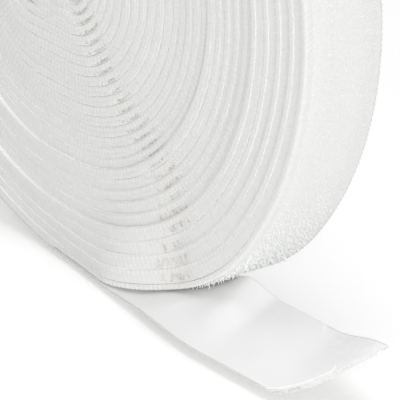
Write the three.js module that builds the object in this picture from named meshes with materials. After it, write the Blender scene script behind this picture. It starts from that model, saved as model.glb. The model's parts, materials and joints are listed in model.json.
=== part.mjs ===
// A roll of self-adhesive hook tape that stands on its rim.
// The tape is wound hooks outwards, with its release liner on the inner face of every turn.
// Its tail comes out from under the roll, twists a little and ends in a slanting cut.
// Units are millimetres and +Z is up. The origin is on the floor under the roll's axis.
// The axis runs along Y, the loosely wound end face looks to -Y, and the tail runs out to +X.

import * as THREE from 'three';

// The tape and its liner
const TAPE_WIDTH = 20;
const TAPE_THICKNESS = 1.35;
const LINER_THICKNESS = 0.2;
const LINER_INSET = 0.3;
const LAYER_GAP = 0.4;

// The winding
const TURNS = 24;
const STEPS_PER_TURN = 23;
const EYE_RADIUS = 4.15;
const CENTRE_PUSH = 6.4;
const CENTRE_PUSH_RADIUS = 16;

// The slack of the outer turns on the tail's side, with its angles measured from the lowest point
const SLACK = 8;
const SLACK_TURNS = 9;
const SLACK_PEAK_TURN = 0.75;
const SLACK_START = THREE.MathUtils.degToRad(8);
const SLACK_FULL = THREE.MathUtils.degToRad(48);
const SLACK_EASE = THREE.MathUtils.degToRad(138);
const SLACK_END = THREE.MathUtils.degToRad(298);

// The tail, whose twist and bend line lie under these angles of the roll
const TWIST_START_ANGLE = THREE.MathUtils.degToRad(22);
const TWIST_END_ANGLE = THREE.MathUtils.degToRad(49);
const BEND_ANGLE = THREE.MathUtils.degToRad(46.5);
const TAIL_LENGTH = 26;
const TAIL_LIFT = 8.7;
const TAIL_SAG = 1.2;
const TAIL_DRIFT = 7;
const CORNER_CURL = 3.6;
const CUT_SLANT = 15.8;
const CUT_BULGE = 3;
const CUT_SKEW = 0.45;
const JOINT_GAP = 0.3;

// The liner's free end
const LINER_SETBACK = 0.8;
const LINER_CORNER = 15;
const LINER_CORNER_SHARE = 0.5;
const TAB_LENGTH = 11;

// Facets of the run-out, of the tail and across the tail
const RUN_OUT_STEPS = 8;
const TAIL_STEPS = 6;
const TAIL_COLUMNS = 8;

// Sizes that follow from those above
const PITCH = TAPE_THICKNESS + LINER_THICKNESS + 2 * LAYER_GAP;
const LINER_WIDTH = TAPE_WIDTH - 2 * LINER_INSET;
const STEP_ANGLE = (2 * Math.PI) / STEPS_PER_TURN;
const OUTER_RADIUS = EYE_RADIUS + (TURNS + 1) * PITCH - LAYER_GAP;
const AXIS_HEIGHT = OUTER_RADIUS * Math.cos(STEP_ANGLE / 2);
const FLAT_REACH = OUTER_RADIUS * Math.sin(STEP_ANGLE / 2);
const TWIST_START = OUTER_RADIUS * Math.sin(TWIST_START_ANGLE);
const TWIST_END = OUTER_RADIUS * Math.sin(TWIST_END_ANGLE);
const BEND_REACH = OUTER_RADIUS * Math.sin(BEND_ANGLE);
const TAIL_REACH = BEND_REACH + TAIL_LENGTH;
const TAB_REACH = TAIL_REACH - TAB_LENGTH;
const LINER_DEPTH = TAPE_THICKNESS + LAYER_GAP;

// How far the slack turns stand off the tight spiral, by turns in from the tail and by angle
function slackAt(turnsIn, angle) {
  const share = Math.max(0, 1 - (turnsIn - SLACK_PEAK_TURN) / SLACK_TURNS);
  const opening = THREE.MathUtils.smoothstep(angle, SLACK_START, SLACK_FULL);
  const closing = THREE.MathUtils.smoothstep(angle, SLACK_EASE, SLACK_END);
  return SLACK * share * share * (opening - closing);
}

// A place on the roll: across runs along the width, and depth goes inwards from the hook face
function onRoll(turn) {
  const turnsIn = TURNS - turn;
  const angle = (turn - Math.floor(turn)) * 2 * Math.PI;
  const tight = OUTER_RADIUS - turnsIn * PITCH;
  const radius = tight + slackAt(turnsIn, angle);
  const push = CENTRE_PUSH * (1 - THREE.MathUtils.smoothstep(tight, EYE_RADIUS, CENTRE_PUSH_RADIUS));
  return (across, depth) => [
    (radius - depth) * Math.sin(angle),
    across - push,
    AXIS_HEIGHT - (radius - depth) * Math.cos(angle),
  ];
}

// How high the far edge of the run-out tape stands: it lifts, sags a little and curls up at the corner
function liftAt(reach) {
  const lift = TAIL_LIFT * THREE.MathUtils.smoothstep(reach, TWIST_START, TWIST_END);
  const sag = TAIL_SAG * THREE.MathUtils.smoothstep(reach, BEND_REACH, TAB_REACH);
  const curl = CORNER_CURL * THREE.MathUtils.smoothstep(reach, TAIL_REACH, TAIL_REACH + CUT_SLANT);
  return lift - sag + curl;
}

// A place on the tape that runs out along the floor, twisted about its near edge
function onFloor(reachAt) {
  return (across, depth) => {
    const reach = reachAt(across);
    const drift = TAIL_DRIFT * THREE.MathUtils.smoothstep(reach, -FLAT_REACH, TAB_REACH);
    const twist = Math.asin(liftAt(reach) / TAPE_WIDTH);
    const along = across + TAPE_WIDTH / 2;
    return [
      reach,
      -TAPE_WIDTH / 2 - drift + along * Math.cos(twist) - depth * Math.sin(twist),
      along * Math.sin(twist) + depth * Math.cos(twist),
    ];
  };
}

// The slanting cut at the tail's end, which bulges most near its near corner
function tapeEnd(across) {
  const share = across / TAPE_WIDTH + 0.5;
  return TAIL_REACH + CUT_SLANT * share + CUT_BULGE * Math.sin(Math.PI * share ** CUT_SKEW);
}

// The liner ends just short of the cut, and its far corner is missing
function linerEnd(across) {
  const share = across / TAPE_WIDTH + 0.5;
  const corner = LINER_CORNER * THREE.MathUtils.smoothstep(share, 1 - LINER_CORNER_SHARE, 1);
  return tapeEnd(across) - LINER_SETBACK - corner;
}

// Stations between two ends, each of which may slant across the tape
function stationsBetween(startAt, endAt, steps) {
  const stations = [];
  for (let i = 0; i <= steps; i += 1) {
    const share = i / steps;
    stations.push(onFloor((across) => startAt(across) * (1 - share) + endAt(across) * share));
  }
  return stations;
}

// The whole wound length, from the eye to where the tape runs out under the roll
function windingStations() {
  const stations = [];
  for (let i = 0; i < TURNS * STEPS_PER_TURN - 1; i += 1) {
    stations.push(onRoll((i + 0.5) / STEPS_PER_TURN));
  }
  const bend = () => BEND_REACH - JOINT_GAP / 2;
  const flatStart = () => -FLAT_REACH;
  return stations.concat(stationsBetween(flatStart, bend, RUN_OUT_STEPS));
}

// A closed strip through the stations, between two depths
function stripGeometry(stations, width, outerDepth, innerDepth, columns) {
  const row = columns + 1;
  const positions = [];
  for (const place of stations) {
    for (const depth of [outerDepth, innerDepth]) {
      for (let j = 0; j < row; j += 1) {
        positions.push(...place(width * (j / columns - 0.5), depth));
      }
    }
  }
  const index = [];
  const quad = (a, b, c, d) => index.push(a, b, c, a, c, d);
  const hook = (station, column) => station * 2 * row + column;
  const back = (station, column) => hook(station, column) + row;
  const last = stations.length - 1;
  for (let i = 0; i < last; i += 1) {
    for (let j = 0; j < columns; j += 1) {
      quad(hook(i, j), hook(i, j + 1), hook(i + 1, j + 1), hook(i + 1, j));
      quad(back(i, j), back(i + 1, j), back(i + 1, j + 1), back(i, j + 1));
    }
    quad(hook(i, 0), hook(i + 1, 0), back(i + 1, 0), back(i, 0));
    quad(hook(i, columns), back(i, columns), back(i + 1, columns), hook(i + 1, columns));
  }
  for (let j = 0; j < columns; j += 1) {
    quad(hook(0, j), back(0, j), back(0, j + 1), hook(0, j + 1));
    quad(hook(last, j), hook(last, j + 1), back(last, j + 1), back(last, j));
  }
  const geometry = new THREE.BufferGeometry();
  geometry.setAttribute('position', new THREE.Float32BufferAttribute(positions, 3));
  geometry.setIndex(index);
  geometry.computeVertexNormals();
  return geometry;
}

// The least distance, on points, between the outer face of one winding and the inner face of another
function leastGap(stations, outerDepth, innerDepth, turnsApart) {
  const edges = [-TAPE_WIDTH / 2, 0, TAPE_WIDTH / 2];
  const pointsAt = (place, depth) => edges.map((across) => new THREE.Vector3(...place(across, depth)));
  const outer = stations.map((place) => pointsAt(place, outerDepth));
  const inner = stations.map((place) => pointsAt(place, innerDepth));
  let least = Infinity;
  for (let i = 0; i < stations.length; i += 1) {
    for (let j = i + turnsApart; j < stations.length; j += 1) {
      for (const a of outer[i]) {
        for (const b of inner[j]) {
          least = Math.min(least, a.distanceTo(b));
        }
      }
    }
  }
  return least;
}

function tapeMaterial() {
  return new THREE.MeshStandardMaterial({ color: 0xf2f2f0, roughness: 0.85, metalness: 0 });
}

function linerMaterial() {
  return new THREE.MeshStandardMaterial({ color: 0xf6f6f4, roughness: 0.45, metalness: 0 });
}

const roll = new THREE.Group();

function addStrip(name, geometry, material) {
  const mesh = new THREE.Mesh(geometry, material);
  mesh.name = name;
  roll.add(mesh);
}

const winding = windingStations();
const linerBack = LINER_DEPTH + LINER_THICKNESS;
const tailStart = () => BEND_REACH + JOINT_GAP / 2;
const tabSeamBefore = () => TAB_REACH - JOINT_GAP / 2;
const tabSeamAfter = () => TAB_REACH + JOINT_GAP / 2;

addStrip(
  'hook_tape_winding',
  stripGeometry(winding, TAPE_WIDTH, 0, TAPE_THICKNESS, 1),
  tapeMaterial(),
);
addStrip(
  'release_liner_winding',
  stripGeometry(winding, LINER_WIDTH, LINER_DEPTH, linerBack, 1),
  linerMaterial(),
);
addStrip(
  'hook_tape_tail',
  stripGeometry(
    stationsBetween(tailStart, tapeEnd, TAIL_STEPS), TAPE_WIDTH, 0, TAPE_THICKNESS, TAIL_COLUMNS,
  ),
  tapeMaterial(),
);
addStrip(
  'release_liner_tail',
  stripGeometry(
    stationsBetween(tailStart, tabSeamBefore, TAIL_STEPS), LINER_WIDTH, LINER_DEPTH, linerBack, TAIL_COLUMNS,
  ),
  linerMaterial(),
);
addStrip(
  'release_liner_tab',
  stripGeometry(
    stationsBetween(tabSeamAfter, linerEnd, TAIL_STEPS), LINER_WIDTH, LINER_DEPTH, linerBack, TAIL_COLUMNS,
  ),
  linerMaterial(),
);

const halfTurn = Math.floor(STEPS_PER_TURN / 2);
const tapeGap = leastGap(winding, 0, TAPE_THICKNESS, halfTurn);
const linerGap = leastGap(winding, LINER_DEPTH, linerBack, halfTurn);
console.log(`hook_tape_winding: least gap to itself ${tapeGap.toFixed(2)} mm`);
console.log(`release_liner_winding: least gap to itself ${linerGap.toFixed(2)} mm`);

export default roll;
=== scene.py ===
"""Looks of a roll of white self-adhesive hook tape that stands on its rim, its tail run out on the floor.

Sizes are in millimetres until a mesh is made, and meshes are in metres in the frame of the solids: +Z up,
the roll's axis along Y above the origin, the seen end face towards -Y and the tail towards +X.
"""

import json
import math

import bpy
import numpy as np
from mathutils import Matrix, Vector


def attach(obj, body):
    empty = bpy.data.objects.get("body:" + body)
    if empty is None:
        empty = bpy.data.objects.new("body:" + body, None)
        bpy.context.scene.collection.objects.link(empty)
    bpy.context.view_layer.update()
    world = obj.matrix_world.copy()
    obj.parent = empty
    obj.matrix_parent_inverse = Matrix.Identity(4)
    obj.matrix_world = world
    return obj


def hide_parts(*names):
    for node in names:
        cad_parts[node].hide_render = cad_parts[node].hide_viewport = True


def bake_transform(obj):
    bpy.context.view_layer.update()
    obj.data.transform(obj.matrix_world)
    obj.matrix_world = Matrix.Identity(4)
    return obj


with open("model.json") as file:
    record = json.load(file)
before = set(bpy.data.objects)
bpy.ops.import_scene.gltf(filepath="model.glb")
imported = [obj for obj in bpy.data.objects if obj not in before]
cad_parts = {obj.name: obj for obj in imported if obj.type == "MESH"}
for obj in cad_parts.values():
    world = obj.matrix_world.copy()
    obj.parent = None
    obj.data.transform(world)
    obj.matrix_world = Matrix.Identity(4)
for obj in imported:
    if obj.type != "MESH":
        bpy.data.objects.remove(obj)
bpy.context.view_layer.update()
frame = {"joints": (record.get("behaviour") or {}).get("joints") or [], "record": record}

MM = 0.001
TAU = 2 * math.pi
RNG = np.random.default_rng(20)

joints = {joint["name"]: joint for joint in frame["joints"]}
eye_low, eye_high = frame["record"]["physics"]["openings"][0]["box_m"]

# The tape, its layers given as depths inwards from the winding's outer radius
TAPE_WIDTH = 20.0
HALF = TAPE_WIDTH / 2
FIELD_DEPTH = 0.3
TAPE_DEPTH = 1.4
LINER_DEPTH = 1.42
LINER_BACK = 1.55
LINER_INSET = 0.17
LINER_WIDTH = TAPE_WIDTH - 2 * LINER_INSET
SELVEDGE = 2.1

# The winding, where k counts the turns in from the tail
TURNS = 26.5
OUTER_RADIUS = 62.1
PITCH = 2.17
AXIS_HEIGHT = (eye_low[2] + eye_high[2]) / 2 / MM
SPIRAL_SAMPLES = 60000

# The turns have no core to keep them round: the inner ones are drawn out away from the tail
OVAL = 12.5
OVAL_FROM, OVAL_TO = 14.0, 62.0

# How far the turns stand out of the end face, which starts early in the outermost one: the centre, two proud
# turns, and small waves with their heights, rates over the turns and starts
PUSH_START, PUSH_FULL = 0.02, 0.4
CENTRE_PUSH = 2.9
CENTRE_PUSH_FROM, CENTRE_PUSH_TO = 9.0, 34.0
PROUD_TURNS = (4.95, 9.95)
PROUD = 0.6
PROUD_SPAN = 0.33
EDGE_WAVES = ((0.12, 7.1, 0.0), (0.1, 17.3, 1.0))

# The slack of the outer turns on the tail's side, with its angles measured from the lowest point
SLACK = 8.0
SLACK_TURNS = 9.0
SLACK_PEAK_TURN = 0.75
SLACK_START, SLACK_FULL, SLACK_EASE, SLACK_END = (math.radians(a) for a in (-6, 52, 138, 298))

# The stack of flat turns at the lowest point: how far it is pressed, and the cosine of the angle that it
# reaches to
STACK_PRESS = 0.4
STACK_COSINE = 0.5

# The pressed mass of hooks: its height on the outermost turn, its gap to the turn over it, and where in turns
# that cover starts
OUTER_MASS = 0.22
MASS_GAP = 0.01
MASS_START, MASS_FULL = 0.985, 1.02

# How far the mass keeps back from the edges: a little in the tight turns, more where the turns face the
# tail's side, and most in the slack turns, which have this much room to spare
EDGE_RECESS = 0.06
FACING_RECESS = 0.1
SLACK_RECESS = 0.3
SLACK_ROOM = 1.3
FACING_FROM, FACING_FULL, FACING_EASE, FACING_TO = (math.radians(a) for a in (45, 75, 170, 230))
RECESS_WANDER, RECESS_PERIOD = 0.04, 23.0

# The pits along one line of each end face, where the mass keeps back further
PIT_RECESS_INNER, PIT_RECESS_OUTER = 0.7, 0.34
PIT_ANGLE, PIT_SWAY = math.radians(38), math.radians(4.5)
PIT_SWAY_RADIUS, PIT_SWAY_PERIOD = 43.0, 44.0
PIT_REACH_INNER, PIT_REACH_OUTER = 2.6, 3.8
PIT_RADII = (15.0, 50.0)

# The tail: its seam with the winding, and how it bends, drifts out of the roll's end face, rises off the
# floor, twists about its near edge and sags again
SEAM_REACH = 18.0
BEND_REACH = joints["tail_lift"]["pos_m"][0] / MM
TAIL_LENGTH = 28.2
TAIL_REACH = BEND_REACH + TAIL_LENGTH
DRIFT_START, DRIFT_END = -20.0, 59.0
TAIL_DRIFT = 9.6
RAISE_START, RAISE_END = 14.0, 38.0
TAIL_RAISE = 1.2
TWIST_START, TWIST_END = 24.8, 55.7
TAIL_LIFT = 11.8
SAG_START, SAG_END = 47.2, 57.3
TAIL_SAG = 4.0
CORNER_CURL = 4.35

# The tail's slanted cut, with a notch at a share of the width
CUT_SLANT = 17.8
CUT_BULGE = 3.0
CUT_SKEW = 0.45
CUT_NOTCH = 0.7
CUT_NOTCH_SHARE, CUT_NOTCH_SPAN = 0.77, 0.07
CUT_SAMPLES = 201

# The liner's free end, whose far corner is missing
PEEL_REACH = joints["liner_peel"]["pos_m"][0] / MM
PEEL_SPREAD = 3.0
PEEL_START = PEEL_REACH - PEEL_SPREAD
LINER_SETBACK = 0.8
LINER_CORNER = 19.0
LINER_CORNER_SHARE = 0.5

# Past its near edge the tail clings to the turn that leaves it, whose height is taken at these angles
HUG_GAP, HUG_MOST = 0.35, 3.4
HUG_WIDTH = 8.0
HUG_START, HUG_END = 29.0, 49.0
HUG_ANGLES = np.radians(np.linspace(0, 60, 121))

# The lowest turns drift out with the tail, up to where it leaves them, and the layers above less and less
BULGE_FROM, BULGE_TO = 14.0, 36.0
BULGE_LAYERS = 8.0

# The tape's section from an edge inwards. Its rounded edge has places outside and inside, and depths outside
# and inside. The selvedge has places as shares of the mass's recess, and both depths. The mass has places
# past its recess, and shares of its height.
EDGE_ROUND = np.array([(0.0, -0.03, 0.66, 0.98), (0.05, -0.02, 0.3, 1.28)])
SELVEDGE_SHARES = np.array([(0.12, 0.14, 1.37), (0.36, 0.07, 1.4), (0.66, 0.07, 1.4), (1.0, 0.12, 1.4)])
MASS_ROUND = np.array([(0.03, 0.7), (0.07, 1.0)])
FIELD_COLUMNS = 3

# The same depths where the selvedge shows its own thickness, along the tail and into the outermost turn
THIN_OUTER = np.array([1.05, 0.92, 0.86, 0.82, 0.8, 0.62])
THIN_INNER = np.array([1.2, 1.34])
THIN_TURN, THICK_TURN = 0.05, 0.13

# The selvedge's ribs
RIB_PERIOD = 1.15
RIB_SAMPLES = 4
RIB_STEP = RIB_PERIOD / RIB_SAMPLES
RIB_HEIGHT = 0.1
RIB_SIDE = 0.6
RIB_SLANT = 1.9

# The liner's meshes: how many rows of the tape make one of the wound liner's, and rows and columns
WOUND_LINER_ROWS, WOUND_LINER_COLUMNS = 8, 3
TAIL_LINER_ROWS, TAIL_LINER_COLUMNS = 60, 31
TAB_ROWS, TAB_COLUMNS = 48, 61

# The angle between faces past which an edge is shaded sharp
SHARP_ANGLE = math.radians(50)

# A hook: its line as shares of its height, up and along its lean, its taper, radius and the depth of its
# foot, how its height, direction and place scatter, and how far along the tape the way ahead is taken
HOOK_LINE = np.array([(0, 0), (0.5, 0.03), (0.84, 0.15), (1.0, 0.38), (0.88, 0.56)])
HOOK_TAPER = 0.35
HOOK_RADIUS = 0.115
HOOK_FOOT = FIELD_DEPTH + 0.05
HOOK_SHARES = (0.85, 1.15)
UP_SPREAD, LEAN_SPREAD = 0.12, 0.3
ROW_SCATTER, TURN_SCATTER = 0.15, 0.0006
AHEAD, AHEAD_TURN = 0.5, 0.002

# The field of hooks on the outermost turn, which are pressed short above the tail
HOOK_ALONG = 1.0
HOOK_ACROSS = 0.85
FIELD_MARGIN = 0.3
FIRST_HOOK, COVERED_TURN = 0.01, 1.03
HOOK_HEIGHT, HOOK_LEAST = 0.36, 0.12
HOOK_CLEARANCE = 0.3

# The shaggy stretch low on that turn, in turns, and its clumps along the turn's length
SHAG_START, SHAG_FULL, SHAG_EASE, SHAG_END = 0.8, 0.86, 0.97, 0.99
SHAG_HEIGHT, CLUMP_HEIGHT = 0.3, 0.9
CLUMP_LENGTH, CLUMP_SLANT, CLUMP_PERIOD = 390.0, 3.0, 7.0
CLUMP_SHARES = (0.3, 1.0)

# The posts of hooks that show in the pits, with their places and heights as shares of the recess and the room
EDGE_HOOK_STEP = 0.95
PIT_LEAST = 0.2
POST_RADIUS = 0.15
POST_PLACES = (0.6, 1.0)
POST_FILL = 0.95
POST_SHARES = (0.85, 1.0)

# The hooks under the tail, cut short by the floor
TAIL_HOOKS_FROM, TAIL_HOOKS_MARGIN = 1.0, 0.5
TAIL_HOOK_HEIGHT = 0.5
TAIL_SCATTER, TAIL_UP_SPREAD = 0.12, 0.05
FLOOR_FILL = 0.9

# The yarn ends along the cut, which are longer near its near corner
THREADS = 90
THREAD_RADIUS = 0.13
THREAD_INSET, THREAD_SCATTER = 0.15, 0.05
THREAD_DEPTHS = (0.5, 1.2)
THREAD_ROOT = 0.25
THREAD_SWAY = 0.25
THREAD_LENGTHS = (0.2, 0.35)
CORNER_THREAD_LENGTHS = (0.1, 1.3)
CORNER_THREAD_REACH = 4.0

# The grain of the materials: where its ramp runs from dark to light, and the depth of its bump
GRAIN_STOPS = (0.35, 0.65)
GRAIN_DEPTH = 0.1

# The photograph's camera, as fitted to the edges of the turns
CAMERA_AT = Vector((622.2, -526.6, 350.2)) * MM
CAMERA_AZIMUTH = math.radians(48.4)
CAMERA_ELEVATION = math.radians(22.5)
CAMERA_ROLL = math.radians(3.7)
CAMERA_LENS = 379.4
CAMERA_SENSOR = 36.0
CAMERA_FAR = 20.0

# The floor, in metres but for its drop, which keeps it clear of the tape's under face
FLOOR_REACH = 6.0
FLOOR_DROP = 0.02
FLOOR_GLOW = 0.26

# The light, in metres: the sky's level, and three softboxes with their places, sizes and levels on a face
# square to them
SKY_LEVEL = 0.5
LAMP_AIM = Vector((0.0, 0.0, 0.04))
KEY_AT, KEY_SIZE, KEY_LEVEL = Vector((0.0, 0.0, 1.2)), 0.7, 0.3
FILL_AT, FILL_SIZE, FILL_LEVEL = Vector((0.75, -0.9, 0.2)), 0.7, 0.31
LOW_AT, LOW_SIZE, LOW_LEVEL = Vector((1.1, -0.4, 0.08)), 0.5, 0.43


def ease(x, low, high):
    t = np.clip((x - low) / (high - low), 0, 1)
    return t * t * (3 - 2 * t)


def wander(x, period):
    """A smooth wave between about -1 and 1 that doesn't seem to repeat: three sines at golden ratios."""
    t = TAU * x / period
    return (np.sin(t) + np.sin(1.618 * t + 1.3) + np.sin(2.618 * t + 4.1)) / 2.4


def unit(v):
    return v / np.linalg.norm(v, axis=-1, keepdims=True)


# Places on the tape


def layer_of(k, angle):
    """Which layer up from the floor a place of the lower half belongs to."""
    return np.round(k + np.where(angle > math.pi, angle - TAU, angle) / TAU)


def oval_at(k):
    """How far the half of a turn that is away from the tail is moved from the axis."""
    return OVAL * np.clip((OVAL_TO - OUTER_RADIUS + k * PITCH) / (OVAL_TO - OVAL_FROM), 0, 1)


def drawn_out(k, angle):
    """Radius of a turn of two half rounds and the straights between them."""
    tight = OUTER_RADIUS - k * PITCH
    shift = oval_at(k)
    away, level = -np.sin(angle), np.abs(np.cos(angle))
    straight = tight / np.maximum(level, 1e-6)
    rounded = shift * away + np.sqrt(np.maximum(0, tight**2 - (shift * level) ** 2))
    return np.where(away > 0, np.where(away * tight < shift * level, straight, rounded), tight)


def roll_radius(k):
    """Outer radius of the tape, with the slack, and the angle from the lowest point towards the tail.

    The slack turns are flat at their lowest, where they lie on each other, on the tail and on the floor."""
    angle = np.mod(-k, 1.0) * TAU
    share = np.maximum(0, 1 - (k - SLACK_PEAK_TURN) / SLACK_TURNS)
    before = ease(angle - TAU, SLACK_START, SLACK_FULL)
    opening = before + ease(angle, SLACK_START, SLACK_FULL) - ease(angle, SLACK_EASE, SLACK_END)
    radius = drawn_out(k, angle) + SLACK * share**2 * opening
    layers = layer_of(k, angle)
    rest = AXIS_HEIGHT - layers * PITCH + STACK_PRESS * (layers > 0)
    flat = rest / np.maximum(np.cos(angle), STACK_COSINE)
    return np.where(np.cos(angle) > STACK_COSINE, np.minimum(radius, flat), radius), angle


def outward(k):
    """The direction out of a turn and square to it, and the turn's own place about the axis.

    Each is given as its x and z."""
    radius, angle = roll_radius(k)
    x, z = radius * np.sin(angle), -radius * np.cos(angle)
    run = x - np.clip(x, -oval_at(k), 0)
    size = np.hypot(run, z)
    return run / size, z / size, x, z


def room_outside(k):
    """Free height between the tape's woven field and the liner of the next turn out."""
    mine, _ = roll_radius(k)
    outer, _ = roll_radius(np.maximum(k - 1, 0))
    out_x, out_z, x, z = outward(k)
    return (outer - mine) * (out_x * x + out_z * z) / mine - LINER_BACK + FIELD_DEPTH


def drift_at(x):
    return TAIL_DRIFT * ease(x, DRIFT_START, DRIFT_END)


def bulge_at(k, radius, angle):
    x = radius * np.sin(angle)
    share = 1 - ease(layer_of(k, angle) - 1, 0, BULGE_LAYERS)
    return np.where(np.cos(angle) > 0, drift_at(x) * (1 - ease(x, BULGE_FROM, BULGE_TO)) * share, 0)


def on_roll(k, across, depth):
    """A place on the wound tape."""
    radius, angle = roll_radius(k)
    push = CENTRE_PUSH * (1 - ease(OUTER_RADIUS - k * PITCH, CENTRE_PUSH_FROM, CENTRE_PUSH_TO))
    for turn in PROUD_TURNS:
        push = push + PROUD * np.exp(-(((k - turn) / PROUD_SPAN) ** 2))
    for height, rate, start in EDGE_WAVES:
        push = push + height * np.sin(rate * k + start)
    push = push * ease(k, PUSH_START, PUSH_FULL) + bulge_at(k, radius, angle)
    out_x, out_z, x, z = outward(k)
    place = x - depth * out_x, across - push, AXIS_HEIGHT + z - depth * out_z
    return np.stack(np.broadcast_arrays(*place), -1)


def raise_at(x):
    return TAIL_RAISE * ease(x, RAISE_START, RAISE_END)


def lift_at(x):
    """How much higher than its near edge the tail's far edge stands."""
    lift = TAIL_LIFT * ease(x, TWIST_START, TWIST_END)
    sag = TAIL_SAG * ease(x, SAG_START, SAG_END)
    curl = CORNER_CURL * ease(x, TAIL_REACH, TAIL_REACH + CUT_SLANT)
    return lift - sag + curl


def underside(x):
    """Height of the turn above the tail."""
    radius, _ = roll_radius(1 - HUG_ANGLES / TAU)
    return np.interp(x, radius * np.sin(HUG_ANGLES), AXIS_HEIGHT - radius * np.cos(HUG_ANGLES))


def rise_at(x, along):
    """How far the tail's under face stands above the floor, at a place across it from the near edge."""
    flat = raise_at(x) + along * lift_at(x) / TAPE_WIDTH
    spare = np.clip(underside(x) - flat - LINER_BACK - HUG_GAP, 0, HUG_MOST)
    return flat + spare * ease(along, 0, HUG_WIDTH) * (1 - ease(x, HUG_START, HUG_END))


def on_floor(x, across, depth):
    """A place on the tape that runs out along the floor, twisted about its near edge."""
    twist = np.arcsin(lift_at(x) / TAPE_WIDTH)
    along = across + HALF
    y = -HALF - drift_at(x) + along * np.cos(twist) - depth * np.sin(twist)
    z = rise_at(x, along) + depth * np.cos(twist)
    return np.stack(np.broadcast_arrays(x, y, z), -1)


def straight_cut(reach):
    """A cut square across the tape. Like the cuts below, it says how far along it lies at places across."""
    return lambda across: np.full(across.shape, reach)


def tape_end(across):
    share = np.clip(across / TAPE_WIDTH + 0.5, 0, 1)
    bulge = CUT_BULGE * np.sin(np.pi * share**CUT_SKEW)
    notch = CUT_NOTCH * np.exp(-(((share - CUT_NOTCH_SHARE) / CUT_NOTCH_SPAN) ** 2))
    return TAIL_REACH + CUT_SLANT * share + bulge - notch


def liner_end(across):
    share = np.clip(across / TAPE_WIDTH + 0.5, 0, 1)
    return tape_end(across) - LINER_SETBACK - LINER_CORNER * ease(share, 1 - LINER_CORNER_SHARE, 1)


def wound_stations(step):
    """k at equal steps along the wound tape, from the eye out to the lowest point, and the length so far."""
    dense = np.linspace(TURNS, 0, SPIRAL_SAMPLES)
    points = on_roll(dense, 0.0, FIELD_DEPTH)
    length = np.concatenate([[0], np.cumsum(np.linalg.norm(np.diff(points, axis=0), axis=1))])
    along = np.linspace(0, length[-1], int(length[-1] / step) + 1)
    return np.interp(along, length, dense), along


def pit_size(inner, outer, radius):
    """A size of the pits, which changes from the inner turns to the outer ones."""
    return inner + (outer - inner) * ease(radius, *PIT_RADII)


def pit_share(k):
    """1 along the line of the end face where hooks show in pits, falling to 0 beside it."""
    radius, angle = roll_radius(k)
    line = PIT_ANGLE + PIT_SWAY * np.cos(TAU * (radius - PIT_SWAY_RADIUS) / PIT_SWAY_PERIOD)
    reach = pit_size(PIT_REACH_INNER, PIT_REACH_OUTER, radius)
    return np.exp(-(((angle - line) * radius / reach) ** 2))


def pressed_hooks(k, length):
    """Height of the pressed mass of hooks along the tape, and how far it keeps back from the edges."""
    radius, angle = roll_radius(k)
    inside = ease(k, MASS_START, MASS_FULL)
    room = room_outside(k)
    spare = np.clip((room - PITCH + LINER_BACK - FIELD_DEPTH) / SLACK_ROOM, 0, 1)
    pit = pit_size(PIT_RECESS_INNER, PIT_RECESS_OUTER, radius)
    facing = ease(angle, FACING_FROM, FACING_FULL) - ease(angle, FACING_EASE, FACING_TO)
    open_side = facing * (FACING_RECESS + (SLACK_RECESS - FACING_RECESS) * spare)
    uneven = RECESS_WANDER * wander(length, RECESS_PERIOD)
    recess = EDGE_RECESS + np.maximum(open_side, pit * pit_share(k)) + uneven
    height = np.maximum(room - MASS_GAP, OUTER_MASS)
    return OUTER_MASS + (height - OUTER_MASS) * inside, SELVEDGE + (recess - SELVEDGE) * inside


# Meshes


def make_object(name, points, faces, materials, face_materials=None):
    """An object of quads, given as rows of four point numbers."""
    mesh = bpy.data.meshes.new(name)
    points = points.reshape(-1, 3) * MM
    mesh.vertices.add(len(points))
    mesh.vertices.foreach_set("co", points.astype(np.float32).ravel())
    mesh.loops.add(4 * len(faces))
    mesh.loops.foreach_set("vertex_index", faces.astype(np.int32).ravel())
    mesh.polygons.add(len(faces))
    mesh.polygons.foreach_set("loop_start", np.arange(0, 4 * len(faces), 4, dtype=np.int32))
    mesh.polygons.foreach_set("use_smooth", np.ones(len(faces), bool))
    for material in materials:
        mesh.materials.append(material)
    if face_materials is not None:
        mesh.polygons.foreach_set("material_index", face_materials.astype(np.int32))
    mesh.update(calc_edges=True)
    mesh.validate()
    mesh.set_sharp_from_angle(angle=SHARP_ANGLE)
    obj = bpy.data.objects.new(name, mesh)
    bpy.context.scene.collection.objects.link(obj)
    return obj


def strip(name, outer, inner, materials, bare=None):
    """A closed strip between two grids of points, whose rows run along it and whose columns run across.

    Its inside has the second material, but for a number of bare columns along each edge, if that is given."""
    rows, columns = outer.shape[:2]
    top = np.arange(rows * columns).reshape(rows, columns)
    low = top + rows * columns

    def patch(grid):
        return np.stack([grid[:-1, :-1], grid[:-1, 1:], grid[1:, 1:], grid[1:, :-1]], -1).reshape(-1, 4)

    def rim(a, b):
        return np.stack([a[:-1], a[1:], b[1:], b[:-1]], -1)

    inner_faces = patch(low)[:, ::-1]
    faces = np.concatenate([
        patch(top), rim(top[:, 0], low[:, 0]), rim(low[:, -1], top[:, -1]),
        rim(low[0], top[0]), rim(top[-1], low[-1]), inner_faces])
    marks = None
    if bare is not None:
        coat = np.zeros((rows - 1, columns - 1), int)
        coat[:, bare:-bare] = 1
        marks = np.append(np.zeros(len(faces) - len(inner_faces), int), coat)
    points = np.concatenate([outer.reshape(-1, 3), inner.reshape(-1, 3)])
    return make_object(name, points, faces, materials, marks)


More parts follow.
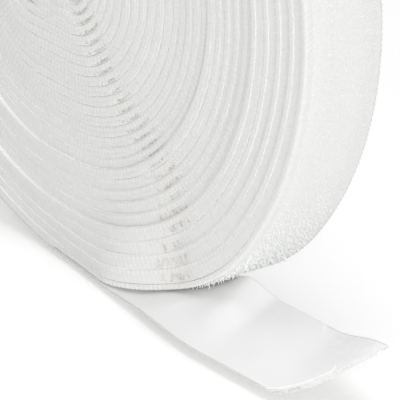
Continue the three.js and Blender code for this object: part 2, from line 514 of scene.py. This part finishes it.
def tape_strip(name, place, length, mass, recess, ribs, thin, materials):
    """The tape along a list of places, with ribbed selvedges and the pressed mass of hooks between them.

    Each row has its length so far, the height and recess of the mass, the height of the ribs, and a share
    that is 1 where the selvedge is thin."""
    rows = len(length)
    field = np.linspace(-1, 1, FIELD_COLUMNS + 2)[1:-1]
    past = np.concatenate([recess[:, None] * SELVEDGE_SHARES[:, 0], recess[:, None] + MASS_ROUND[:, 0]], 1)

    def spread(edge):
        """Places across, from one edge to the other, where the first columns keep the given places."""
        near = np.concatenate([np.broadcast_to(edge, (rows, len(edge))), past], 1) - HALF
        return np.concatenate([near, -near[:, -1:] * field, -near[:, ::-1]], 1)

    across, across_inside = spread(EDGE_ROUND[:, 0]), spread(EDGE_ROUND[:, 1])

    thin = thin[:, None]
    outer = np.concatenate([EDGE_ROUND[:, 2], SELVEDGE_SHARES[:, 1]])
    outer = outer + thin * (THIN_OUTER - outer)
    foot = outer[:, -1:]
    top = (FIELD_DEPTH - mass)[:, None]
    outer = np.concatenate([outer, foot + (top - foot) * MASS_ROUND[:, 1]], 1)
    middle = np.broadcast_to(top, (rows, FIELD_COLUMNS))
    depth = np.concatenate([outer, middle, outer[:, ::-1]], 1)

    rounded = EDGE_ROUND[:, 3] + thin * (THIN_INNER - EDGE_ROUND[:, 3])
    flat = np.concatenate([SELVEDGE_SHARES[:, 2], np.full(len(MASS_ROUND), TAPE_DEPTH)])
    inner = np.concatenate([rounded, np.broadcast_to(flat, (rows, len(flat)))], 1)
    depth_inside = np.concatenate([inner, np.full((rows, FIELD_COLUMNS), TAPE_DEPTH), inner[:, ::-1]], 1)

    # The ribs raise the columns up to the last of the selvedge, and move the edge's and the mass's sideways
    edges = len(EDGE_ROUND) + len(SELVEDGE_SHARES) - 1
    woven = np.zeros(across.shape[1])
    woven[:edges] = woven[-edges:] = 1
    at_edge = np.zeros(across.shape[1])
    for columns in (slice(0, len(EDGE_ROUND)), slice(edges + 1, edges + 1 + len(MASS_ROUND))):
        at_edge[columns] = -1
    at_edge -= at_edge[::-1]
    wave = np.sin(TAU * length[:, None] / RIB_PERIOD + RIB_SLANT * (np.abs(across) - HALF)) * ribs[:, None]
    side = RIB_SIDE * wave * at_edge
    outside = place(across + side, depth - wave * woven)
    inside = place(across_inside + side, depth_inside)
    return strip(name, outside, inside, materials, bare=len(EDGE_ROUND))


def sheet_strip(name, place, columns, material):
    across = np.linspace(LINER_INSET - HALF, HALF - LINER_INSET, columns)
    return strip(name, place(across, LINER_DEPTH), place(across, LINER_BACK), [material])


def hooks(name, base, up, lean, height, radius, material):
    """Bent bristles of four sides that stand on their bases and curl over along lean."""
    lean = unit(lean - up * (lean * up).sum(1, keepdims=True))
    side = np.cross(up, lean)
    slope = unit(np.gradient(HOOK_LINE, axis=0))
    last = len(HOOK_LINE) - 1
    rings = []
    for i, (rise, run) in enumerate(HOOK_LINE):
        centre = base + (rise * height)[:, None] * up + (run * height)[:, None] * lean
        across = slope[i, 0] * lean - slope[i, 1] * up
        thick = np.reshape(radius, (-1, 1)) * (1 - HOOK_TAPER * i / last)
        for a in range(4):
            turn = TAU * a / 4
            rings.append(centre + thick * (math.cos(turn) * side + math.sin(turn) * across))
    points = np.stack(rings, 1)
    points[..., 2] = np.maximum(points[..., 2], 0)
    per = points.shape[1]
    faces = [[0, 1, 2, 3]]
    for i in range(last):
        for a in range(4):
            b = (a + 1) % 4
            faces.append([i * 4 + a, i * 4 + 4 + a, i * 4 + 4 + b, i * 4 + b])
    tip = per - 4
    faces.append([tip + 3, tip + 2, tip + 1, tip])
    faces = (np.arange(len(base))[:, None, None] * per + np.array(faces)[None]).reshape(-1, 4)
    return make_object(name, points, faces, [material])


# Materials


def node_material(name, color, roughness):
    material = bpy.data.materials.new(name)
    material.use_nodes = True
    shader = material.node_tree.nodes["Principled BSDF"]
    shader.inputs["Base Color"].default_value = (*color, 1)
    shader.inputs["Roughness"].default_value = roughness
    return material, material.node_tree, shader


def add_grain(tree, shader, scale, dark, light, bump, detail=3.0):
    """Mottles the colour and raises a bump from one noise at the given cells per metre."""
    coords = tree.nodes.new("ShaderNodeTexCoord")
    noise = tree.nodes.new("ShaderNodeTexNoise")
    noise.inputs["Scale"].default_value = scale
    noise.inputs["Detail"].default_value = detail
    ramp = tree.nodes.new("ShaderNodeValToRGB")
    for element, position, color in zip(ramp.color_ramp.elements, GRAIN_STOPS, (dark, light)):
        element.position = position
        element.color = (*color, 1)
    bumped = tree.nodes.new("ShaderNodeBump")
    bumped.inputs["Strength"].default_value = bump
    bumped.inputs["Distance"].default_value = GRAIN_DEPTH * MM
    tree.links.new(coords.outputs["Object"], noise.inputs["Vector"])
    tree.links.new(noise.outputs["Fac"], ramp.inputs["Fac"])
    tree.links.new(ramp.outputs["Color"], shader.inputs["Base Color"])
    tree.links.new(noise.outputs["Fac"], bumped.inputs["Height"])
    tree.links.new(bumped.outputs["Normal"], shader.inputs["Normal"])


def tape_material():
    material, tree, shader = node_material("woven_nylon", (0.775, 0.775, 0.762), 0.75)
    add_grain(tree, shader, 1900, (0.76, 0.76, 0.746), (0.79, 0.79, 0.777), 0.15)
    return material


def adhesive_material():
    material, tree, shader = node_material("adhesive_back", (0.94, 0.94, 0.95), 0.55)
    add_grain(tree, shader, 700, (0.92, 0.92, 0.932), (0.96, 0.96, 0.97), 0.5, detail=5)
    return material


def hook_material():
    material, tree, shader = node_material("nylon_hooks", (0.885, 0.9, 0.895), 0.6)
    add_grain(tree, shader, 2500, (0.87, 0.885, 0.88), (0.9, 0.915, 0.91), 0.2)
    return material


# Painted shade: the hooks in the pits are a darker, brownish grey that stands in for the shade in the pits.
def pit_shade_material():
    material, tree, shader = node_material("pit_shade_hooks", (0.7, 0.67, 0.645), 0.7)
    add_grain(tree, shader, 1500, (0.64, 0.6, 0.575), (0.76, 0.735, 0.71), 0.2)
    return material


def liner_material():
    material, tree, shader = node_material("satin_liner", (0.94, 0.94, 0.94), 0.5)
    add_grain(tree, shader, 140, (0.93, 0.93, 0.93), (0.95, 0.95, 0.95), 0.05, detail=1)
    return material


# The camera, floor and light


def make_camera():
    az, el, turn = CAMERA_AZIMUTH, CAMERA_ELEVATION, CAMERA_ROLL
    back = Vector((math.sin(az) * math.cos(el), -math.cos(az) * math.cos(el), math.sin(el)))
    level = Vector((math.cos(az), math.sin(az), 0))
    rise = back.cross(level)
    right = level * math.cos(turn) + rise * math.sin(turn)
    up = rise * math.cos(turn) - level * math.sin(turn)
    data = bpy.data.cameras.new("camera")
    data.lens = CAMERA_LENS
    data.sensor_width = CAMERA_SENSOR
    data.clip_end = CAMERA_FAR
    camera = bpy.data.objects.new("camera", data)
    bpy.context.scene.collection.objects.link(camera)
    camera.matrix_world = Matrix(
        [(right.x, up.x, back.x, CAMERA_AT.x), (right.y, up.y, back.y, CAMERA_AT.y),
         (right.z, up.z, back.z, CAMERA_AT.z), (0, 0, 0, 1)])
    bpy.context.scene.camera = camera


def seen_share(tree):
    """A socket that is 1 for camera, glossy and transmission rays, and 0 for the rays that carry light."""
    path = tree.nodes.new("ShaderNodeLightPath")
    total = path.outputs["Is Camera Ray"]
    for ray in ("Is Glossy Ray", "Is Transmission Ray"):
        either = tree.nodes.new("ShaderNodeMath")
        either.operation = "MAXIMUM"
        tree.links.new(total, either.inputs[0])
        tree.links.new(path.outputs[ray], either.inputs[1])
        total = either.outputs[0]
    return total


def make_floor():
    material, tree, shader = node_material("pale_floor", (0.93, 0.93, 0.93), 0.9)
    shader.inputs["Specular IOR Level"].default_value = 0.0
    shader.inputs["Emission Color"].default_value = (1, 1, 1, 1)
    glow = tree.nodes.new("ShaderNodeMath")
    glow.operation = "MULTIPLY"
    glow.inputs[1].default_value = FLOOR_GLOW
    tree.links.new(seen_share(tree), glow.inputs[0])
    tree.links.new(glow.outputs[0], shader.inputs["Emission Strength"])
    corners = [(FLOOR_REACH * x, FLOOR_REACH * y, 0) for x, y in ((-1, -1), (1, -1), (1, 1), (-1, 1))]
    mesh = bpy.data.meshes.new("floor")
    mesh.from_pydata(corners, [], [(0, 1, 2, 3)])
    mesh.materials.append(material)
    floor = bpy.data.objects.new("floor", mesh)
    floor.location.z = -FLOOR_DROP * MM
    bpy.context.scene.collection.objects.link(floor)


def add_softbox(name, at, size, level):
    """A square lamp aimed at the roll, at the share of white that a white face square to it shows."""
    lamp = bpy.data.lights.new(name, "AREA")
    lamp.size = size
    aim = LAMP_AIM - at
    lamp.energy = level * math.pi**2 * aim.length_squared
    softbox = bpy.data.objects.new(name, lamp)
    softbox.location = at
    softbox.rotation_euler = aim.to_track_quat("-Z", "Y").to_euler()
    bpy.context.scene.collection.objects.link(softbox)


def make_light():
    world = bpy.data.worlds.new("studio")
    bpy.context.scene.world = world
    world.use_nodes = True
    tree = world.node_tree
    sky = tree.nodes["Background"]
    sky.inputs["Color"].default_value = (1, 1, 1, 1)
    level = tree.nodes.new("ShaderNodeMapRange")
    level.inputs["To Min"].default_value = SKY_LEVEL
    level.inputs["To Max"].default_value = 1.0
    tree.links.new(seen_share(tree), level.inputs["Value"])
    tree.links.new(level.outputs[0], sky.inputs["Strength"])
    add_softbox("key", KEY_AT, KEY_SIZE, KEY_LEVEL)
    add_softbox("fill", FILL_AT, FILL_SIZE, FILL_LEVEL)
    add_softbox("low", LOW_AT, LOW_SIZE, LOW_LEVEL)


# The pieces


def make_winding(nylon, adhesive, film):
    """The wound tape and its liner, up to the seam with the tail, and their length."""
    k, length = wound_stations(RIB_STEP)
    run = np.append(np.arange(RIB_STEP, SEAM_REACH, RIB_STEP), SEAM_REACH)
    wound = len(k)
    total = wound + len(run)
    lengths = np.concatenate([length, length[-1] + run])
    mass, recess = pressed_hooks(np.concatenate([k, np.zeros(len(run))]), lengths)

    def placer(rows):
        def place(across, depth):
            shape = (total, across.shape[-1])
            across = np.broadcast_to(across, shape)
            depth = np.broadcast_to(depth, shape)
            rolled = on_roll(k[:, None], across[:wound], depth[:wound])
            flat = on_floor(run[:, None], across[wound:], depth[wound:])
            return np.concatenate([rolled, flat])[rows]
        return place

    every = np.arange(total)
    ribs = RIB_HEIGHT * np.concatenate([np.ones(wound), 1 - ease(run, 0, SEAM_REACH)])
    thin = np.concatenate([1 - ease(k, THIN_TURN, THICK_TURN), np.ones(len(run))])
    tape = tape_strip("tape_winding", placer(every), lengths, mass, recess, ribs, thin, [nylon, adhesive])
    coarse = np.append(every[:-1:WOUND_LINER_ROWS], every[-1])
    liner = sheet_strip("liner_winding", placer(coarse), WOUND_LINER_COLUMNS, film)
    return tape, liner, lengths[-1]


def make_tail(nylon, adhesive, film, wound_length):
    """The tail's tape, its liner up to where the peel starts, and the liner's free end."""
    seam, peel = straight_cut(SEAM_REACH), straight_cut(PEEL_START)
    steps = int((TAIL_REACH + CUT_SLANT - SEAM_REACH) / RIB_STEP)

    def placer(start, end, rows):
        share = np.linspace(0, 1, rows)[:, None]

        def place(across, depth):
            across = np.broadcast_to(across, (rows, across.shape[-1]))
            return on_floor(start(across) * (1 - share) + end(across) * share, across, depth)
        return place

    length = wound_length + np.linspace(0, TAIL_REACH - SEAM_REACH + CUT_SLANT / 2, steps)
    mass = np.full(steps, OUTER_MASS)
    recess = np.full(steps, SELVEDGE)
    ribs, thin = np.zeros(steps), np.ones(steps)
    place = placer(seam, tape_end, steps)
    tape = tape_strip("tape_tail", place, length, mass, recess, ribs, thin, [nylon, adhesive])
    liner = sheet_strip("liner_tail", placer(seam, peel, TAIL_LINER_ROWS), TAIL_LINER_COLUMNS, film)
    tab = sheet_strip("liner_tab", placer(peel, liner_end, TAB_ROWS), TAB_COLUMNS, film)
    return tape, liner, tab


class HookList:
    """Collects hooks row by row and makes them one piece."""

    def __init__(self):
        self.base, self.up, self.lean, self.height, self.radius = [], [], [], [], []

    def add(self, foot, out, ahead, height, spread=UP_SPREAD, radius=HOOK_RADIUS):
        """Adds hooks that lean ahead or back by chance."""
        count = len(foot)
        way = np.where(RNG.random(count) < 0.5, 1.0, -1.0)[:, None]
        self.base.append(foot)
        self.up.append(unit(out + RNG.normal(0, spread, (count, 3))))
        self.lean.append(unit(ahead * way + RNG.normal(0, LEAN_SPREAD, (count, 3))))
        self.height.append(height)
        self.radius.append(np.full(count, radius))

    def make(self, name, material):
        parts = (self.base, self.up, self.lean, self.height, self.radius)
        base, up, lean, height, radius = (np.concatenate(part) for part in parts)
        return hooks(name, base, up, lean, height, radius, material)


def field_rows():
    """Places of the rows of hooks across the tape, and the half step by which every other row is moved."""
    rows = np.arange(-HALF + SELVEDGE + FIELD_MARGIN, HALF - SELVEDGE, HOOK_ACROSS)
    return [(row, 0.5 * HOOK_ALONG * (i % 2)) for i, row in enumerate(rows)]


def above_tail(points):
    """How far points stand above the tail, or above the floor where the tail doesn't reach."""
    x, y, z = points.T
    twist = np.arcsin(lift_at(x) / TAPE_WIDTH)
    along = np.clip((y + HALF + drift_at(x)) / np.cos(twist), 0, TAPE_WIDTH)
    return z - np.where(x > 0, rise_at(x, along) + LINER_BACK, 0)


def wound_hooks(material, pit_shade):
    """Hooks all over the outermost turn, and the ones that show in the pits of both end faces, coloured with
    painted shade.
    """
    outside, pits = HookList(), HookList()

    def stand(listed, k, side, tall, radius):
        foot = on_roll(k, side, HOOK_FOOT)
        out = unit(on_roll(k, side, 0.0) - foot)
        ahead = unit(on_roll(k - AHEAD_TURN, side, HOOK_FOOT) - foot)
        free = np.where(k < 1, np.maximum(HOOK_LEAST, above_tail(foot) - HOOK_CLEARANCE), tall)
        listed.add(foot, out, ahead, np.minimum(tall, free), radius=radius)

    k, length = wound_stations(EDGE_HOOK_STEP)
    _, recess = pressed_hooks(k, length)
    shown = (k > COVERED_TURN) & (pit_share(k) > PIT_LEAST)
    for sign in (-1, 1):
        at = k[shown] + RNG.normal(0, TURN_SCATTER, shown.sum())
        side = sign * (HALF - RNG.uniform(*POST_PLACES, len(at)) * recess[shown])
        tall = POST_FILL * room_outside(at) * RNG.uniform(*POST_SHARES, len(at))
        stand(pits, at, side, tall, POST_RADIUS)
    k, _ = wound_stations(HOOK_ALONG)
    for row, stagger in field_rows():
        at = k[(k > FIRST_HOOK) & (k < COVERED_TURN)] - stagger / (TAU * OUTER_RADIUS)
        at = at[at > FIRST_HOOK / 2]
        at = at + RNG.normal(0, TURN_SCATTER, len(at))
        side = row + RNG.normal(0, ROW_SCATTER, len(at))
        low = ease(at, SHAG_START, SHAG_FULL) - ease(at, SHAG_EASE, SHAG_END)
        clump = np.maximum(0, wander(at * CLUMP_LENGTH + CLUMP_SLANT * row, CLUMP_PERIOD))
        clump = clump * RNG.uniform(*CLUMP_SHARES, len(at))
        tall = HOOK_HEIGHT * RNG.uniform(*HOOK_SHARES, len(at)) + low * (SHAG_HEIGHT + CLUMP_HEIGHT * clump)
        stand(outside, at, side, tall, HOOK_RADIUS)
    # The hooks in the pits take the material with painted shade.
    return outside.make("hooks_winding", material), pits.make("hooks_in_pits", pit_shade)


def tail_hooks(material):
    listed = HookList()
    for row, stagger in field_rows():
        end = float(tape_end(np.array(row))) - TAIL_HOOKS_MARGIN
        x = np.arange(TAIL_HOOKS_FROM + stagger, end, HOOK_ALONG)
        x = x + RNG.normal(0, TAIL_SCATTER, len(x))
        side = row + RNG.normal(0, ROW_SCATTER, len(x))
        foot = on_floor(x, side, HOOK_FOOT)
        out = unit(on_floor(x, side, 0.0) - foot)
        ahead = unit(on_floor(x + AHEAD, side, HOOK_FOOT) - foot)
        tall = np.minimum(TAIL_HOOK_HEIGHT * RNG.uniform(*HOOK_SHARES, len(x)), FLOOR_FILL * foot[:, 2])
        listed.add(foot, out, ahead, tall, spread=TAIL_UP_SPREAD)
    return listed.make("hooks_tail", material)


def cut_threads(material):
    """Yarn ends along the cut, longest at the near corner."""
    across = np.linspace(-HALF + THREAD_INSET, HALF - THREAD_INSET, THREADS)
    across = across + RNG.normal(0, THREAD_SCATTER, THREADS)
    depth = RNG.uniform(*THREAD_DEPTHS, THREADS)
    end = tape_end(across)
    foot = on_floor(end - THREAD_ROOT, across, depth)
    ahead = unit(on_floor(end + AHEAD, across, depth) - foot)
    side = unit(on_floor(end, across + AHEAD, depth) - foot)
    near = np.exp(-(((across + HALF) / CORNER_THREAD_REACH) ** 2))
    long = RNG.uniform(*THREAD_LENGTHS, THREADS) + near * RNG.uniform(*CORNER_THREAD_LENGTHS, THREADS)
    up = unit(ahead + side * RNG.normal(0, THREAD_SWAY, (THREADS, 1)))
    return hooks("cut_threads", foot, up, side, long, THREAD_RADIUS, material)


def declare_strip(width, start, end):
    """Works out the lengths of a strip from a place along the tape to a cut, at places across its width; they
    are not used.
    """
    across = np.linspace(-width / 2, width / 2, CUT_SAMPLES)
    runs = (end(across) - start) * MM


make_camera()
make_floor()
make_light()

nylon, adhesive, bristle, film = tape_material(), adhesive_material(), hook_material(), liner_material()
tape_winding, liner_winding, wound_length = make_winding(nylon, adhesive, film)
tape_tail, liner_tail, liner_tab = make_tail(nylon, adhesive, film, wound_length)
hooks_winding, hooks_in_pits = wound_hooks(bristle, pit_shade_material())
hooks_tail = tail_hooks(bristle)
threads = cut_threads(nylon)

for piece in (tape_tail, hooks_tail, liner_tail):
    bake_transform(piece)
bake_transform(liner_tab)
for piece in (tape_winding, liner_winding, hooks_winding, hooks_in_pits):
    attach(piece, "roll")
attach(threads, "tail")

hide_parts("hook_tape_winding")
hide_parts("release_liner_winding")
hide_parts("hook_tape_tail")
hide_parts("release_liner_tail")
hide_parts("release_liner_tab")

wound_end = straight_cut(wound_length)
declare_strip(TAPE_WIDTH, 0, wound_end)
declare_strip(LINER_WIDTH, 0, wound_end)
declare_strip(TAPE_WIDTH, SEAM_REACH, tape_end)
declare_strip(LINER_WIDTH, SEAM_REACH, straight_cut(PEEL_START))
declare_strip(LINER_WIDTH, PEEL_START, liner_end)

# White faces that lie close together pass light on many times
bpy.context.scene.cycles.max_bounces = 24
bpy.context.scene.cycles.diffuse_bounces = 20
bpy.context.scene.view_settings.view_transform = "Standard"
bpy.context.view_layer.update()
